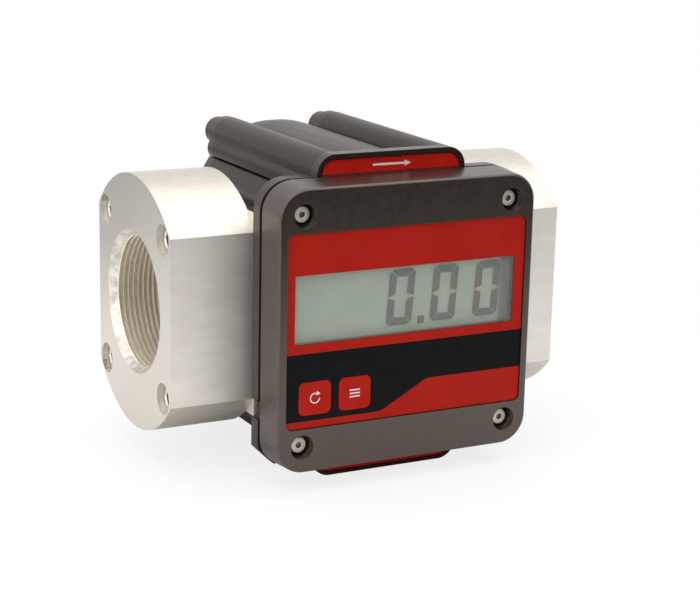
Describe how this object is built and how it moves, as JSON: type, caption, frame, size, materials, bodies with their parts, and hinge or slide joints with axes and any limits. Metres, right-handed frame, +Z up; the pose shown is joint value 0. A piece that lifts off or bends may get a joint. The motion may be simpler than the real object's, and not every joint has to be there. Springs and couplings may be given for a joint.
{
  "type": "flow meter",
  "caption": "Inline rotary flow meter with threaded round flanges, a ribbed dark housing and a square front display with push keys.",
  "frame": {"origin": "centre of the inlet face, on the flow axis", "axes": "+X with the flow, from inlet to outlet; +Y away from the display, so the display faces -Y; +Z up"},
  "size_m": [0.185, 0.1385, 0.1374],
  "materials": {
    "black_housing": "black semi-gloss coating on an extruded housing",
    "bright_aluminium": "turned face, milled flats and a finely turned rim, uncoated",
    "zinc_steel": "bright zinc plated socket screws",
    "seal_rubber": "black nitrile rubber",
    "plate_aluminium": "machined",
    "bronze": "sintered bronze",
    "ground_steel": "ground and hardened",
    "label_red": "red printed film with a plain white mark",
    "bezel_plastic": "warm dark grey moulded plastic with a fine texture",
    "overlay_film": "red polyester film with a black band, satin",
    "key_red": "red polyester film with a thin pale outline",
    "clear_pane": "clear window",
    "display_grey": "grey-green liquid crystal display with dark digits",
    "inner_plastic": "black moulded plastic",
    "board_green": "green solder resist",
    "battery_jacket": "plain dark jacket"
  },
  "bodies": {
    "meter": {"meter_body": "black_housing", "front_cover": "black_housing", "rear_cover": "black_housing", "front_seal": "seal_rubber", "rear_seal": "seal_rubber", "tie_bolts": "zinc_steel", "inlet_flange": "bright_aluminium", "outlet_flange": "bright_aluminium", "inlet_screws": "zinc_steel", "outlet_screws": "zinc_steel", "inlet_seal": "seal_rubber", "outlet_seal": "seal_rubber", "bearing_plate": "plate_aluminium", "front_bushes": "bronze", "middle_bushes": "bronze", "rear_bushes": "bronze", "upper_label": "label_red", "lower_label": "label_red", "display_gasket": "seal_rubber", "display_bezel": "bezel_plastic", "bezel_screws": "zinc_steel", "face_overlay": "overlay_film", "window_pane": "clear_pane", "display_glass": "display_grey", "display_frame": "inner_plastic", "circuit_board": "board_green", "board_screws": "zinc_steel", "key_switches": "inner_plastic", "battery_holder": "inner_plastic", "batteries": "battery_jacket", "pulse_sensor": "inner_plastic"},
    "upper_rotor_set": {"upper_rotor": "plate_aluminium", "upper_shaft": "ground_steel", "upper_timing_gear": "ground_steel", "rotor_magnets": "ground_steel"},
    "lower_rotor_set": {"lower_rotor": "plate_aluminium", "lower_shaft": "ground_steel", "lower_timing_gear": "ground_steel"},
    "reset_key_set": {"reset_key": "key_red", "reset_plunger": "inner_plastic"},
    "total_key_set": {"total_key": "key_red", "total_plunger": "inner_plastic"}
  },
  "joints": [
    {"name": "upper_rotor_spin", "type": "hinge", "parent": "meter", "child": "upper_rotor_set", "pos_m": [0.0925, 0, 0.026], "axis": [0, 1, 0], "continuous": true},
    {"name": "lower_rotor_spin", "type": "hinge", "parent": "meter", "child": "lower_rotor_set", "pos_m": [0.0925, 0, -0.026], "axis": [0, 1, 0], "continuous": true},
    {"name": "reset_key_press", "type": "slide", "parent": "meter", "child": "reset_key_set", "axis": [0, 1, 0], "range_m": [0, 0.0006], "stiffness_N_per_m": 4000},
    {"name": "total_key_press", "type": "slide", "parent": "meter", "child": "total_key_set", "axis": [0, 1, 0], "range_m": [0, 0.0006], "stiffness_N_per_m": 4000}
  ],
  "couplings": [
    {"joint": "lower_rotor_spin", "follows": "upper_rotor_spin", "ratio": -1}
  ]
}
